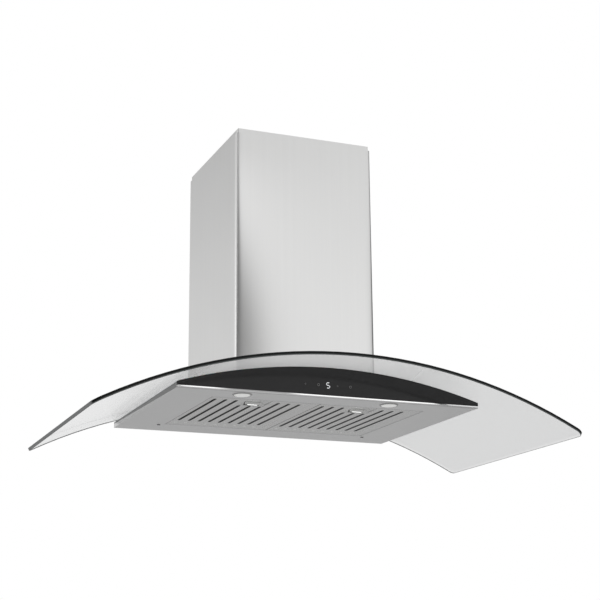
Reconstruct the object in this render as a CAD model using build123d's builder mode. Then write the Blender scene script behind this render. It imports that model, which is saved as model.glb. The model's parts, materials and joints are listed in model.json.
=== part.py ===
from build123d import *
from math import asin, cos, degrees, sin
import os

os.makedirs("parts", exist_ok=True)

# Wall-hung range hood with a curved glass canopy. Millimetres, X to the right as seen from
# the front, +Y into the wall, +Z up. The wall plane is Y = 0, and the origin is midway between
# the two hanging holes. Heights given to level() are counted up from the underside of the body.

# Driving dimensions
hang_height = 350.0        # hanging holes above the underside
glass_width = 900.0
glass_depth = 500.0
glass_thickness = 6.0
glass_radius = 968.0       # outer surface of the canopy, a cylinder along Y
glass_apex = 61.0          # top of the glass above the underside
wall_gap = 1.0             # between the glass and the wall
body_width = 568.0
body_depth = 410.0         # wall to the face of the fascia
chimney_width = 272.0
chimney_depth = 288.0
chimney_top = 531.0        # top of the upper cover, pushed fully down
cover_reveal = 9.0         # what shows of the upper cover above the lower one
sheet = 1.0                # sheet steel
clear = 1.0                # how far a cut runs past the sheet that it goes through

# Canopy glass and what clamps it
front_corner_radius = 18.0
rear_corner_radius = 10.0
glass_edge_chamfer = 0.8
gasket = 1.5               # under the glass
box_gasket = 1.0           # on top of the glass
frame_sheet = 1.5          # base frame of the blower box
duct_x = 94.0              # half width of the air passage through the glass
duct_front, duct_rear = -248.0, -42.0
duct_corner = 20.0
frame_land = 32.0          # width of the base frame around the passage
bolt_x = 108.0
bolt_rows = (-264.0, -22.0)
bolt_r, bolt_head_r, bolt_head = 3.0, 5.5, 4.0
nut_r, nut_height = 5.2, 5.0
sleeve_r = 5.0
bolt_play = 0.3            # between a bolt and the sheets it passes

# Body
fascia_thickness = 4.0
fascia_bottom = 4.0
fascia_gap = 1.7           # between its top and the canopy
fascia_overlap = 0.5       # past the body at each side
side_height = 9.4
filter_field_x = 203.5     # half width of the filter opening
field_front, field_rear = -351.0, -71.5
return_height = 12.0       # folded edge around the filter opening
plate_screw_x, plate_screw_y, plate_screw_r = 212.5, -60.0, 1.9
plate_screw_length = 9.0
screw_slot = 0.8           # width of the slot in its head
safety_hole_x, safety_hole_height, safety_hole_r = 200.0, 16.0, 3.0

# Filters
filter_gap = 1.0
filter_height = 13.0
slot_count = 9
slot_pitch = 19.7
slot_width = 4.0
slot_rear, slot_front, short_slot_front = -120.5, -333.5, -291.0
short_slots = (3, 4, 5)    # those behind the finger recess
slot_offset = -11.0        # slot field against the middle of its filter
drain_y, drain_r = -99.0, 1.6
baffle_low, baffle_high, baffle_half = 4.0, 11.0, 6.5
cross_bar = 6.0            # width of the bar that joins the baffles at the rear
rim_width = 8.0
hook_x, hook_half = 60.0, 15.0
hook_reach = 10.0          # of the tabs that lie on the edge of the opening

# Latch in the finger recess of each filter
recess_x = 23.0            # half width of the finger recess
recess_front, recess_rear, recess_roof = -345.5, -296.5, 11.5
latch_low, latch_high = 6.0, 7.5    # heights of the latch's slide plate
latch_half, latch_rear = 13.0, -304.0
tongue_half = 7.5
finger_tab_low, finger_tab_half = 0.3, 14.0
spring_post_y, spring_seat_y = -338.0, -309.0
spring_r, spring_wire_r, spring_pitch = 1.1, 0.25, 2.6
rail_front, rail_rear = -344.0, -320.0

# Lamps, on the underside
lamp_spots = {"left": -160.0, "right": 118.0}
lamp_y = -383.5
lamp_r = 17.0
lens_r = 14.2
bezel_flange, bezel_sleeve, bezel_wall = 1.2, 4.0, 1.3
lens_bulge = 0.4           # of the lens below the bezel
can_height, can_fin = 18.0, 2.0

# Controls behind the fascia
control_x, control_height = -11.0, 22.0
board_half, board_height, board_thickness = 58.0, 22.0, 1.6
digit_block = 9.0          # half size of the display's digit block
touch_pads, pad_half = (-42.5, -18.0, 18.0, 42.5), 4.0
housing_half, housing_height, housing_depth = 66.0, 32.0, 13.0
housing_wall = 2.0

# Blower box and blower
box_x = 120.0              # half width
box_front = -276.0
box_top = 320.0
back_panel_x = 118.0
back_panel_top = 375.0
hang_x, hang_r = 100.0, 4.0
scroll_y, scroll_height = -110.0, 172.0
scroll_step = 12.0         # growth of the scroll's radius per quarter turn
scroll_r = 76.0            # first quarter
scroll_half, scroll_wall = 56.0, 2.0
inlet_r, inlet_lip, inlet_wall = 50.0, 6.0, 1.5
wheel_r, wheel_inner, wheel_half = 65.0, 53.0, 50.0
wheel_plate, hub_r, hub_length = 2.0, 12.0, 16.0
blade_count, blade_thickness, blade_turn = 40, 1.2, 32.0
motor_r, motor_left, motor_right = 38.0, -84.0, -16.0
motor_edge, motor_nose_r, motor_nose = 6.0, 13.0, 6.0
shaft_r, shaft_left, shaft_right = 4.0, -24.0, 22.0
arm_reach = inlet_r + 21   # middle of each grommet from the motor's axis
arm_width, arm_plate, arm_left = 14.0, 2.0, -72.0
grommet_r, grommet_hole_r = 7.0, 2.6
collar_y = -160.0
collar_r, collar_wall, collar_top = 75.0, 1.5, 366.0
collar_flange = 10.0
flap_height = 350.0
flap_thickness, flap_edge = 1.0, 0.7
flap_pin_r = 1.5
knuckle_r, knuckle_length = 3.2, 18.0
knuckle_spots = {"front": (-60, 20), "rear": (-38, 42)}
flap_inset = 4.0           # straight edge of a flap from the pin's axis

# Electrics on the box
case_left, case_right, case_front, case_rear = -70.0, 40.0, -64.0, -14.0
case_height, case_wall = 30.0, 2.0
cable_y, cable_height, cable_r = -39.0, box_top + 14, 3.5
gland_r, gland_neck_r = 8.0, 6.0
capacitor_x, capacitor_y, capacitor_r, capacitor_height = 64.0, -40.0, 15.0, 50.0

# Chimney covers
cover_slide_gap = 1.0
upper_length = 440.0
rear_flange = 12.0
cover_corner = 1.6         # folded front corners
felt_width, felt_thickness = 20.0, 0.7
locator_low, locator_high = 66.0, 82.0
locator_front, locator_rear = -160.0, -130.0
bracket_height = 510.0
bracket_width, bracket_sheet = 30.0, 1.5
bracket_hole_x, bracket_hole_r = 80.0, 3.0
bracket_screw_x, bracket_screw_r = 127.0, 1.9
bracket_step = 114.0       # where its ends step forward to the cover's flanges
bracket_end = 132.0


def level(height):
    return height - hang_height


glass_axis = level(glass_apex) - glass_radius
glass_inner = glass_radius - glass_thickness
top_sheet_r = glass_inner - gasket
arch_r = top_sheet_r - sheet
frame_r = glass_radius + box_gasket + frame_sheet
fascia_back = fascia_thickness - body_depth
body_half = body_width / 2
chimney_half = chimney_width / 2


def save(piece, name):
    piece.label = name
    export_step(piece, f"parts/{name}.step")


# A box between two corners, given as the ranges it spans; its heights count from the underside.
def block(x, y, heights, mode=Mode.ADD):
    spans = [sorted(span) for span in (x, y, [level(height) for height in heights])]
    middle = [(low + high) / 2 for low, high in spans]
    with Locations(Vector(*middle)):
        Box(*(high - low for low, high in spans), mode=mode)


# The span of a half width either way from a middle.
def about(middle, half_width):
    return (middle - half_width, middle + half_width)


# A sheet bent like the canopy: a ring sector about the canopy's axis, carried along Y.
def curved_sheet(outer, inner, half_width, y, mode=Mode.ADD):
    half_angle = degrees(asin(half_width / outer))
    with BuildSketch(Plane.XZ.offset(-y[1])) as sector:
        with BuildLine():
            top = CenterArc((0, glass_axis), outer, 90 - half_angle, 2 * half_angle)
            low = CenterArc((0, glass_axis), inner, 90 - half_angle, 2 * half_angle)
            Line(top @ 0, low @ 0)
            Line(top @ 1, low @ 1)
        make_face()
    extrude(sector.sketch, amount=y[1] - y[0], mode=mode)


# The solid cylinder under a surface parallel to the canopy, to trim pieces that meet it.
def under_canopy(radius, mode):
    with BuildSketch(Plane.XZ.offset(-clear)) as section:
        with Locations((0, glass_axis)):
            Circle(radius)
    extrude(section.sketch, amount=glass_depth + 2 * clear, mode=mode)


# Round stock square to the canopy at each clamp bolt, between two distances from its axis.
def radial_pegs(radius, low, high, mode=Mode.ADD):
    for x in (-bolt_x, bolt_x):
        lean = asin(x / glass_radius)
        for y in bolt_rows:
            foot = (low * sin(lean), y, glass_axis + low * cos(lean))
            with BuildSketch(Plane(origin=foot, z_dir=(sin(lean), 0, cos(lean)))) as section:
                Circle(radius)
            extrude(section.sketch, amount=high - low, mode=mode)


# A round bar from a start point, square to a plane: Plane.XY carries it up, Plane.YZ to the
# right and Plane.XZ away from the wall.
def bar(start, plane, radius, length, mode=Mode.ADD):
    with BuildSketch(Plane(origin=start, z_dir=plane.z_dir)) as section:
        Circle(radius)
    extrude(section.sketch, amount=length, mode=mode)


# ---- canopy glass ----
with BuildPart() as glass_canopy:
    curved_sheet(glass_radius, glass_inner, glass_width / 2, (-wall_gap - glass_depth, -wall_gap))
    for place, radius in ((0, front_corner_radius), (-1, rear_corner_radius)):
        short = glass_canopy.edges().filter_by(GeomType.LINE)
        short = short.filter_by(lambda edge: abs(edge.length - glass_thickness) < 0.01)
        fillet(short.group_by(Axis.Y)[place], radius)
    skins = glass_canopy.faces().sort_by(SortBy.AREA)[-2:]
    chamfer(skins.edges(), glass_edge_chamfer)
    with BuildSketch(Plane.XY.offset(level(0))):
        with Locations((0, (duct_front + duct_rear) / 2)):
            RectangleRounded(2 * duct_x, duct_rear - duct_front, duct_corner)
    extrude(amount=2 * glass_apex, mode=Mode.SUBTRACT)
    radial_pegs(sleeve_r, glass_inner - clear, glass_radius + clear, Mode.SUBTRACT)
save(glass_canopy.part, "glass_canopy")

# ---- body ----
# Underside with its sides folded up, and a folded edge on three sides of the filter opening
plate_front = fascia_back + sheet
with BuildPart() as body_shell:
    block((-body_half, body_half), (plate_front, 0), (0, sheet))
    for side in (-1, 1):
        block((side * body_half, side * (body_half - sheet)), (plate_front, 0),
              (sheet, side_height))
        block((side * filter_field_x, side * (filter_field_x + sheet)),
              (field_front - sheet, field_rear), (sheet, return_height))
    block(about(0, filter_field_x), (field_front - sheet, field_front), (sheet, return_height))
    block(about(0, filter_field_x), (field_front, field_rear), (-clear, sheet + clear),
          Mode.SUBTRACT)
    for x in lamp_spots.values():
        bar((x, lamp_y, level(-clear)), Plane.XY, lamp_r - bezel_flange, sheet + 2 * clear,
            Mode.SUBTRACT)
    for x in (-plate_screw_x, plate_screw_x):
        bar((x, plate_screw_y, level(-clear)), Plane.XY, plate_screw_r, sheet + 2 * clear,
            Mode.SUBTRACT)
save(body_shell.part, "body_shell")

# Two screws that hold the underside to the feet of the rear panel
head_height = 0.6
with BuildPart() as plate_screws:
    for x in (-plate_screw_x, plate_screw_x):
        bar((x, plate_screw_y, level(-head_height)), Plane.XY, plate_screw_r + 1.2, head_height)
        bar((x, plate_screw_y, level(0)), Plane.XY, plate_screw_r, plate_screw_length)
        block(about(x, plate_screw_r), about(plate_screw_y, screw_slot / 2),
              (-head_height - clear, -head_height / 3), Mode.SUBTRACT)
save(plate_screws.part, "plate_screws")

with BuildPart() as front_arch_panel:
    window = board_half + 2
    block(about(0, body_half - sheet), (fascia_back, fascia_back + sheet), (sheet, glass_apex))
    under_canopy(arch_r, Mode.INTERSECT)
    block(about(control_x, window), (fascia_back - clear, fascia_back + sheet + clear),
          about(control_height, board_height / 2 + 1.5), Mode.SUBTRACT)
save(front_arch_panel.part, "front_arch_panel")

with BuildPart() as rear_arch_panel:
    block(about(0, body_half - sheet), (-sheet, 0), (sheet, glass_apex))
    under_canopy(arch_r, Mode.INTERSECT)
    for side in (-1, 1):
        foot = about(side * (plate_screw_x + 5), 12)
        block(foot, (plate_screw_y - 8, 0), (sheet, 2 * sheet))
        bar((side * plate_screw_x, plate_screw_y, level(0)), Plane.XY, plate_screw_r, 3 * sheet,
            Mode.SUBTRACT)
        bar((side * safety_hole_x, clear, level(safety_hole_height)), Plane.XZ, safety_hole_r,
            sheet + 2 * clear, Mode.SUBTRACT)
save(rear_arch_panel.part, "rear_arch_panel")

with BuildPart() as body_top_sheet:
    curved_sheet(top_sheet_r, arch_r, body_half, (fascia_back, 0))
    block((-duct_x, duct_x), (duct_front, duct_rear), (0, 2 * glass_apex), Mode.SUBTRACT)
    radial_pegs(bolt_r + bolt_play, arch_r - clear, top_sheet_r + clear, Mode.SUBTRACT)
save(body_top_sheet.part, "body_top_sheet")

# Polished strip that closes the front edge under the fascia, with its folded ends
trim_top = fascia_bottom - 0.3
with BuildPart() as front_trim:
    block((-body_half, body_half), (-body_depth, sheet - body_depth), (0, trim_top))
    block((-body_half, body_half), (-body_depth, plate_front), (0, sheet))
    for side in (-1, 1):
        block((side * body_half, side * (body_half - sheet)), (-body_depth, plate_front),
              (0, trim_top))
save(front_trim.part, "front_trim")

with BuildPart() as fascia_glass:
    block(about(0, body_half + fascia_overlap), (-body_depth, fascia_back),
          (fascia_bottom, glass_apex))
    under_canopy(glass_inner - fascia_gap, Mode.INTERSECT)
    chamfer(fascia_glass.faces().sort_by(Axis.Y)[0].edges(), fascia_thickness / 10)
save(fascia_glass.part, "fascia_glass")

strip = 10.0
with BuildPart() as glass_gaskets:
    for front in (fascia_back + 1, -strip - 2):
        curved_sheet(glass_inner, top_sheet_r, body_half - 4, (front, front + strip))
save(glass_gaskets.part, "glass_gaskets")


# Frame-shaped piece around the air passage, bent with the canopy.
def passage_frame(outer, inner, land):
    edge = 2
    curved_sheet(outer, inner, duct_x + land, (duct_front - land, duct_rear + land))
    block(about(0, duct_x + edge), (duct_front - edge, duct_rear + edge), (0, 2 * glass_apex),
          Mode.SUBTRACT)


# One seal under the glass and one on top of it
with BuildPart() as passage_seals:
    passage_frame(glass_inner, top_sheet_r, frame_land - 6)
    passage_frame(glass_radius + box_gasket, glass_radius, frame_land)
    radial_pegs(sleeve_r, top_sheet_r - clear, frame_r, Mode.SUBTRACT)
save(passage_seals.part, "passage_seals")

with BuildPart() as box_base_frame:
    passage_frame(frame_r, frame_r - frame_sheet, frame_land)
    radial_pegs(bolt_r + bolt_play, glass_radius, frame_r + clear, Mode.SUBTRACT)
save(box_base_frame.part, "box_base_frame")

nut_top = arch_r - 0.05
with BuildPart() as glass_clamp_bolts:
    radial_pegs(bolt_r, nut_top - nut_height - 3, frame_r + clear)
    radial_pegs(bolt_head_r, frame_r, frame_r + bolt_head)
save(glass_clamp_bolts.part, "glass_clamp_bolts")

with BuildPart() as glass_clamp_nuts:
    radial_pegs(nut_r, nut_top - nut_height, nut_top)
    radial_pegs(bolt_r, nut_top - nut_height - clear, nut_top + clear, Mode.SUBTRACT)
save(glass_clamp_nuts.part, "glass_clamp_nuts")

with BuildPart() as glass_bolt_sleeves:
    radial_pegs(sleeve_r - 0.1, glass_inner, glass_radius)
    radial_pegs(bolt_r + 0.1, glass_inner - clear, glass_radius + clear, Mode.SUBTRACT)
save(glass_bolt_sleeves.part, "glass_bolt_sleeves")

# ---- controls behind the fascia ----
board_back = fascia_back + board_thickness
with BuildPart() as touch_board:
    block(about(control_x, board_half), (fascia_back, board_back),
          about(control_height, board_height / 2))
save(touch_board.part, "touch_board")

with BuildPart() as display_module:
    block(about(control_x, digit_block), (board_back, board_back + 6),
          about(control_height, digit_block))
    for x in touch_pads:
        block(about(control_x + x, pad_half), (board_back, board_back + 3),
              about(control_height, pad_half))
save(display_module.part, "display_module")

with BuildPart() as control_housing:
    block(about(control_x, housing_half), (plate_front, plate_front + housing_depth),
          about(control_height, housing_height / 2))
    block(about(control_x, housing_half - housing_wall),
          (fascia_back, plate_front + housing_depth - housing_wall),
          about(control_height, housing_height / 2 - housing_wall), Mode.SUBTRACT)
save(control_housing.part, "control_housing")

# ---- lamps ----
for side, x in lamp_spots.items():
    with BuildPart() as lamp_bezel:
        bar((x, lamp_y, level(-bezel_flange)), Plane.XY, lamp_r, bezel_flange)
        chamfer(lamp_bezel.edges().sort_by(Axis.Z)[0], bezel_flange * 2 / 3)
        bar((x, lamp_y, level(0)), Plane.XY, lamp_r - bezel_wall, bezel_sleeve)
        bar((x, lamp_y, level(-bezel_flange - clear)), Plane.XY, lens_r + 0.2,
            bezel_flange + bezel_sleeve + 2 * clear, Mode.SUBTRACT)
    save(lamp_bezel.part, f"lamp_{side}_bezel")

    with BuildPart() as lamp_lens:
        lens_low = -bezel_flange - lens_bulge
        bar((x, lamp_y, level(lens_low)), Plane.XY, lens_r, bezel_sleeve - lens_low)
        fillet(lamp_lens.edges().sort_by(Axis.Z)[0], 3 * lens_bulge)
    save(lamp_lens.part, f"lamp_{side}_lens")

    # Heat-sink can, with three grooves between its fins
    with BuildPart() as lamp_can:
        bar((x, lamp_y, level(bezel_sleeve)), Plane.XY, lamp_r - 1.5, can_height)
        for n in range(3):
            groove = level(2 * bezel_sleeve + 2 * n * can_fin)
            bar((x, lamp_y, groove), Plane.XY, lamp_r, can_fin, Mode.SUBTRACT)
            bar((x, lamp_y, groove), Plane.XY, lamp_r - 4, can_fin)
        bar((x, lamp_y, level(bezel_sleeve - clear)), Plane.XY, lens_r - 1.5, 2 + clear,
            Mode.SUBTRACT)
    save(lamp_can.part, f"lamp_{side}_can")

# ---- filters ----
filter_width = filter_field_x - filter_gap * 1.75
filter_front, filter_rear = field_front + filter_gap, field_rear - filter_gap

for side, sign in (("left", -1), ("right", 1)):
    middle = sign * (filter_gap * 0.75 + filter_width / 2)
    x_low, x_high = about(middle, filter_width / 2)
    field = middle + slot_offset
    slots = [field + (n - (slot_count - 1) / 2) * slot_pitch for n in range(slot_count)]
    fronts = [short_slot_front if n in short_slots else slot_front for n in range(slot_count)]

    # Pressed tray: slotted face, four low walls, finger recess and two tabs over the rear edge
    with BuildPart() as filter_tray:
        block((x_low, x_high), (filter_front, filter_rear), (0, filter_height))
        block((x_low + sheet, x_high - sheet), (filter_front + sheet, filter_rear - sheet),
              (sheet, filter_height + clear), Mode.SUBTRACT)
        block(about(field, recess_x + sheet), (recess_front - sheet, recess_rear + sheet),
              (0, recess_roof + sheet))
        block(about(field, recess_x), (recess_front, recess_rear), (-clear, recess_roof),
              Mode.SUBTRACT)
        # slots and a drain hole behind each
        for x, front in zip(slots, fronts):
            with BuildSketch(Plane.XY.offset(level(-clear))):
                with Locations((x, (front + slot_rear) / 2)):
                    SlotOverall(slot_rear - front, slot_width, rotation=90)
                with Locations((x, drain_y)):
                    Circle(drain_r)
            extrude(amount=sheet + 1.5 * clear, mode=Mode.SUBTRACT)
        # way for the latch tongue through the front walls
        block(about(field, tongue_half + 1), (filter_front - clear, recess_front + clear),
              (latch_low - 0.6, latch_high + 0.7), Mode.SUBTRACT)
        # spring seat under the recess roof, and the two rails that carry the latch
        roof_joint = recess_roof + sheet / 2
        block(about(field, 3), (spring_seat_y, spring_seat_y + 2), (latch_high + 0.7, roof_joint))
        for turn in (-1, 1):
            rail = field + turn * (latch_half + 0.4)
            block((rail, rail + turn * 1.6), (rail_front, rail_rear),
                  (latch_low - 1.4, roof_joint))
            block((rail - turn * 1.4, rail + turn * 0.1), (rail_front, rail_rear),
                  (latch_low - 1.4, latch_low - 0.4))
        for hook in (middle - hook_x, middle + hook_x):
            block(about(hook, hook_half), (filter_rear - sheet, filter_rear), (sheet, 3 * sheet))
            block(about(hook, hook_half), (filter_rear - sheet, filter_rear + hook_reach),
                  (2 * sheet, 3 * sheet))
    save(filter_tray.part, f"filter_{side}_tray")

    # Channels over the slots that turn the air, held together by two cross bars
    with BuildPart() as filter_baffles:
        for x, front in zip(slots, fronts):
            length = (front - 3, slot_rear + cross_bar)
            block(about(x, baffle_half), length, (baffle_low + sheet, baffle_high))
            block(about(x, baffle_half - sheet), length, (baffle_low, baffle_high - sheet),
                  Mode.SUBTRACT)
        block((x_low + sheet, x_high - sheet), (slot_rear + cross_bar, slot_rear + 2 * cross_bar),
              (baffle_low + sheet, baffle_high + sheet))
        block((x_low + sheet, x_high - sheet),
              (short_slot_front + cross_bar, short_slot_front + cross_bar * 1.5),
              (baffle_high, baffle_high + sheet))
    save(filter_baffles.part, f"filter_{side}_baffles")

    with BuildPart() as filter_rim:
        block((x_low, x_high), (filter_front + 0.6, filter_rear),
              (filter_height, filter_height + sheet))
        block((x_low + rim_width, x_high - rim_width),
              (filter_front + rim_width, filter_rear - rim_width),
              (filter_height - clear, filter_height + sheet + clear), Mode.SUBTRACT)
    save(filter_rim.part, f"filter_{side}_rim")

    # Latch: slide plate with a finger tab that hangs at its rear and a tongue at its front
    with BuildPart() as filter_latch:
        plate = (latch_low, latch_high)
        plate_end = recess_front + 1
        block(about(field, latch_half), (plate_end, latch_rear), plate)
        block(about(field, finger_tab_half), (latch_rear - 1.5, latch_rear),
              (finger_tab_low, latch_high))
        block(about(field, tongue_half), (field_front + 0.5, plate_end), plate)
        block(about(field, 3), (spring_post_y, spring_post_y + 2), (latch_high, latch_high + 3.2))
        block(about(field, latch_half - 2), (spring_post_y - 2, spring_post_y - 0.5),
              (latch_low - 1.4, latch_low))
    save(filter_latch.part, f"filter_{side}_latch")

    with BuildPart() as filter_spring:
        post_face = spring_post_y + 2 + spring_wire_r + 0.05
        coil_length = spring_seat_y - post_face - spring_wire_r - 0.05
        coil_start = (field, post_face, level(latch_high + 1.9))
        with BuildLine() as coil:
            Helix(pitch=spring_pitch, height=coil_length, radius=spring_r, center=coil_start,
                  direction=(0, 1, 0))
        with BuildSketch(Plane(origin=coil.line @ 0, z_dir=coil.line % 0)):
            Circle(spring_wire_r)
        sweep(path=coil.line, is_frenet=True)
    save(filter_spring.part, f"filter_{side}_spring")

# ---- blower box on top of the glass ----
with BuildPart() as box_shell:
    block((-box_x, box_x), (box_front, -sheet), (0, box_top - sheet))
    block((sheet - box_x, box_x - sheet), (box_front + sheet, clear), (-clear, box_top),
          Mode.SUBTRACT)
    under_canopy(frame_r, Mode.SUBTRACT)
save(box_shell.part, "box_shell")

with BuildPart() as box_back_panel:
    block((-back_panel_x, back_panel_x), (-sheet, 0), (0, back_panel_top))
    under_canopy(frame_r, Mode.SUBTRACT)
    for x in (-hang_x, hang_x):
        bar((x, clear, level(hang_height)), Plane.XZ, hang_r, sheet + 2 * clear, Mode.SUBTRACT)
save(box_back_panel.part, "box_back_panel")

with BuildPart() as box_top_plate:
    block((-box_x, box_x), (box_front, -sheet), (box_top - sheet, box_top))
    bar((0, collar_y, level(box_top - sheet - clear)), Plane.XY, collar_r - collar_wall,
        sheet + 2 * clear, Mode.SUBTRACT)
save(box_top_plate.part, "box_top_plate")


# Inside of the scroll: three quarter arcs whose centres step round a small square, so that
# they join smoothly, then the straight outlet up to the given height. Sketch on the YZ plane.
def scroll_outline(top):
    half_step = scroll_step / 2
    z = level(scroll_height)
    radii = [scroll_r + n * scroll_step for n in range(3)]
    first = (scroll_y + half_step, z - half_step)
    second = (scroll_y - half_step, z - half_step)
    third = (scroll_y - half_step, z + half_step)
    with BuildLine() as outline:
        one = CenterArc(first, radii[0], 90, -90)
        CenterArc(second, radii[1], 0, -90)
        three = CenterArc(third, radii[2], -90, -90)
        Polyline(three @ 1, ((three @ 1).X, top), ((one @ 0).X, top), one @ 0)
    make_face(outline.edges())


for side, sign in (("left", -1), ("right", 1)):
    with BuildPart() as scroll:
        with BuildSketch(Plane.YZ):
            scroll_outline(level(box_top - sheet) - scroll_wall)
            offset(amount=scroll_wall, kind=Kind.INTERSECTION)
        extrude(amount=sign * scroll_half)
        with BuildSketch(Plane.YZ):
            scroll_outline(level(box_top + clear))
        extrude(amount=sign * (scroll_half - scroll_wall), mode=Mode.SUBTRACT)
        bar((-scroll_half - clear, scroll_y, level(scroll_height)), Plane.YZ, inlet_r + 2,
            2 * (scroll_half + clear), Mode.SUBTRACT)
    save(scroll.part, f"scroll_{side}")

    # Rounded mouth of the inlet: a bent lip on the scroll's side
    with BuildPart() as inlet_ring:
        with BuildSketch(Plane.XY.offset(level(scroll_height))):
            with Locations((sign * (scroll_half + inlet_lip / 2), scroll_y + inlet_r + 7)):
                Circle(inlet_lip)
                Circle(inlet_lip - inlet_wall, mode=Mode.SUBTRACT)
            with Locations((sign * (scroll_half - inlet_lip), scroll_y + inlet_r + 7)):
                Rectangle(2 * inlet_lip, 3 * inlet_lip, mode=Mode.SUBTRACT)
        revolve(axis=Axis((0, scroll_y, level(scroll_height)), (1, 0, 0)))
    save(inlet_ring.part, f"inlet_ring_{side}")

# Drum wheel, with its blades between two rings and a hub plate in the middle
with BuildPart() as impeller:
    with BuildSketch(Plane.YZ.offset(-wheel_half)):
        with Locations((scroll_y, level(scroll_height))):
            with PolarLocations((wheel_r + wheel_inner) / 2, blade_count):
                Rectangle(wheel_r - wheel_inner + 1, blade_thickness, rotation=blade_turn)
    extrude(amount=2 * wheel_half)
    for start in (-wheel_half, wheel_half - wheel_plate):
        with BuildSketch(Plane.YZ.offset(start)):
            with Locations((scroll_y, level(scroll_height))):
                Circle(wheel_r)
                Circle(wheel_inner, mode=Mode.SUBTRACT)
        extrude(amount=wheel_plate)
    bar((0, scroll_y, level(scroll_height)), Plane.YZ, wheel_r, wheel_plate)
    bar((0, scroll_y, level(scroll_height)), Plane.YZ, hub_r, hub_length)
    bar((-clear, scroll_y, level(scroll_height)), Plane.YZ, shaft_r, hub_length + 2 * clear,
        Mode.SUBTRACT)
save(impeller.part, "impeller")

with BuildPart() as motor_shaft:
    bar((shaft_left, scroll_y, level(scroll_height)), Plane.YZ, shaft_r, shaft_right - shaft_left)
save(motor_shaft.part, "motor_shaft")

with BuildPart() as motor:
    bar((motor_left, scroll_y, level(scroll_height)), Plane.YZ, motor_r, motor_right - motor_left)
    fillet(motor.edges().filter_by(GeomType.CIRCLE), motor_edge)
    bar((motor_right, scroll_y, level(scroll_height)), Plane.YZ, motor_nose_r, motor_nose)
    bar((shaft_left - 2, scroll_y, level(scroll_height)), Plane.YZ, shaft_r + 0.05,
        motor_right + motor_nose + clear - shaft_left + 2, Mode.SUBTRACT)
save(motor.part, "motor")

# Three-arm bracket that holds the motor in the left inlet on rubber grommets
with BuildPart() as motor_bracket:
    with BuildSketch(Plane.YZ.offset(arm_left)):
        with Locations((scroll_y, level(scroll_height))):
            Circle(motor_r + 4)
            with PolarLocations((motor_r + arm_reach) / 2 + 1, 3, start_angle=90):
                Rectangle(arm_reach - motor_r + 4, arm_width)
            Circle(motor_r, mode=Mode.SUBTRACT)
            with PolarLocations(arm_reach, 3, start_angle=90):
                Circle(grommet_r + 1)
            with PolarLocations(arm_reach, 3, start_angle=90):
                Circle(grommet_hole_r, mode=Mode.SUBTRACT)
    extrude(amount=arm_plate)
save(motor_bracket.part, "motor_bracket")

with BuildPart() as motor_grommets:
    with BuildSketch(Plane.YZ.offset(arm_left + arm_plate)):
        with Locations((scroll_y, level(scroll_height))):
            with PolarLocations(arm_reach, 3, start_angle=90):
                Circle(grommet_r)
                Circle(grommet_hole_r, mode=Mode.SUBTRACT)
    extrude(amount=-arm_left - arm_plate - scroll_half)
save(motor_grommets.part, "motor_grommets")

# ---- outlet with its non-return flaps ----
# Collar with two small stops inside for the flaps, and holes for their pin
with BuildPart() as outlet_collar:
    bar((0, collar_y, level(box_top)), Plane.XY, collar_r + collar_flange, collar_wall)
    bar((0, collar_y, level(box_top)), Plane.XY, collar_r, collar_top - box_top)
    bar((0, collar_y, level(box_top - clear)), Plane.XY, collar_r - collar_wall,
        collar_top - box_top + 2 * clear, Mode.SUBTRACT)
    for y in about(collar_y, collar_r - 2 * collar_wall):
        block((-6, 6), about(y, 2), (flap_height - 2.2, flap_height - 0.7))
    bar((-collar_r - clear, collar_y, level(flap_height)), Plane.YZ, flap_pin_r,
        2 * (collar_r + clear), Mode.SUBTRACT)
save(outlet_collar.part, "outlet_collar")

with BuildPart() as flap_pin:
    bar((-collar_r, collar_y, level(flap_height)), Plane.YZ, flap_pin_r, 2 * collar_r)
save(flap_pin.part, "flap_pin")

# Each flap is half a disc, hung on the pin by two knuckles
flap_span = about(flap_height, flap_thickness / 2)
for side, sign in (("front", -1), ("rear", 1)):
    with BuildPart() as flap:
        with BuildSketch(Plane.XY.offset(level(flap_span[0]))):
            with Locations((0, collar_y)):
                Circle(collar_r - collar_wall - flap_edge)
                with Locations((0, sign * (flap_inset - collar_r))):
                    Rectangle(2 * collar_r, 2 * collar_r, mode=Mode.SUBTRACT)
        extrude(amount=flap_thickness)
        for x in knuckle_spots[side]:
            block((x, x + knuckle_length), (collar_y, collar_y + sign * (flap_inset + 1)),
                  flap_span)
            bar((x, collar_y, level(flap_height)), Plane.YZ, knuckle_r, knuckle_length)
        bar((-collar_r, collar_y, level(flap_height)), Plane.YZ, flap_pin_r + 0.1, 2 * collar_r,
            Mode.SUBTRACT)
    save(flap.part, f"flap_{side}")

# ---- electrics on the box ----
case_top = box_top + case_height
with BuildPart() as electronics_box:
    block((case_left, case_right), (case_front, case_rear), (box_top, case_top))
    block((case_left + case_wall, case_right - case_wall),
          (case_front + case_wall, case_rear - case_wall), (box_top + case_wall, case_top + clear),
          Mode.SUBTRACT)
    bar((case_left - clear, cable_y, level(cable_height)), Plane.YZ, gland_neck_r,
        case_wall + 2 * clear, Mode.SUBTRACT)
save(electronics_box.part, "electronics_box")

with BuildPart() as electronics_lid:
    block((case_left - 1, case_right + 1), (case_front - 1, case_rear + 1),
          (case_top, case_top + case_wall))
save(electronics_lid.part, "electronics_lid")

# Board on two studs, with its transformer and a relay
board_low = box_top + 8
with BuildPart() as electronics_board:
    board_top = board_low + board_thickness
    block((case_left + 4, case_right - 4), (case_front + 4, case_rear - 4),
          (board_low, board_top))
    block((-10, 12), (-55, -30), (board_top, board_top + 16.4))
    block((18, 30), (-50, -34), (board_top, board_top + 14.4))
    for x in (case_left + 3.5, case_right - 3.5):
        block(about(x, 1), about(cable_y, 2), (box_top + case_wall, board_low))
save(electronics_board.part, "electronics_board")

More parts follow.
